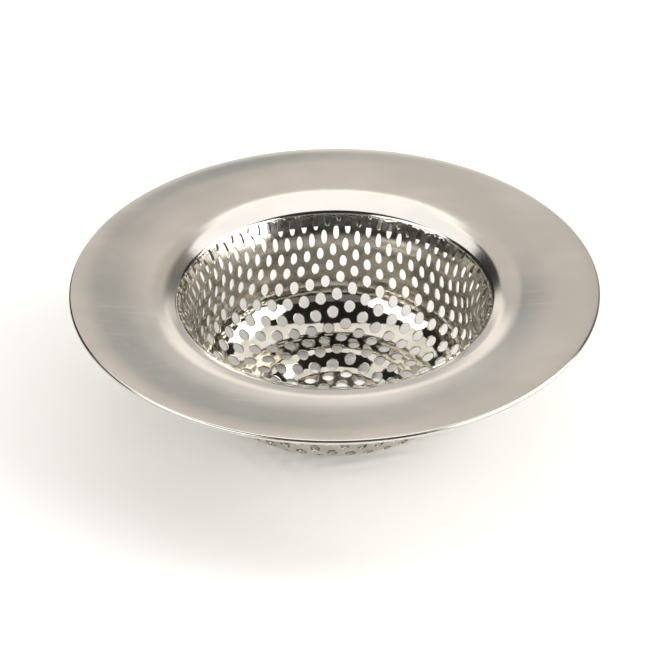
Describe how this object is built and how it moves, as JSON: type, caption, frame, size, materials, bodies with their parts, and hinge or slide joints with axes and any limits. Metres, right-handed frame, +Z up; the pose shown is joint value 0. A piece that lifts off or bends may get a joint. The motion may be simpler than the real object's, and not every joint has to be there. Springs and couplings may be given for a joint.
{
  "type": "sink basket strainer",
  "caption": "Round stainless sink strainer: a wide flat rim with a folded edge and rounded shoulder around a stepped, perforated basket.",
  "frame": {"origin": "centre of the underside of the basket, the face the strainer stands on", "axes": "+Z up along the basket's axis towards the open mouth; X and Y lie in the plane of the rim, -Y towards the front"},
  "size_m": [0.1142, 0.1142, 0.0316],
  "materials": {
    "rim_steel": "satin stainless sheet",
    "basket_steel": "polished stainless sheet"
  },
  "bodies": {
    "root": {"rim_flange": "rim_steel", "strainer_basket": "basket_steel"}
  },
  "joints": []
}
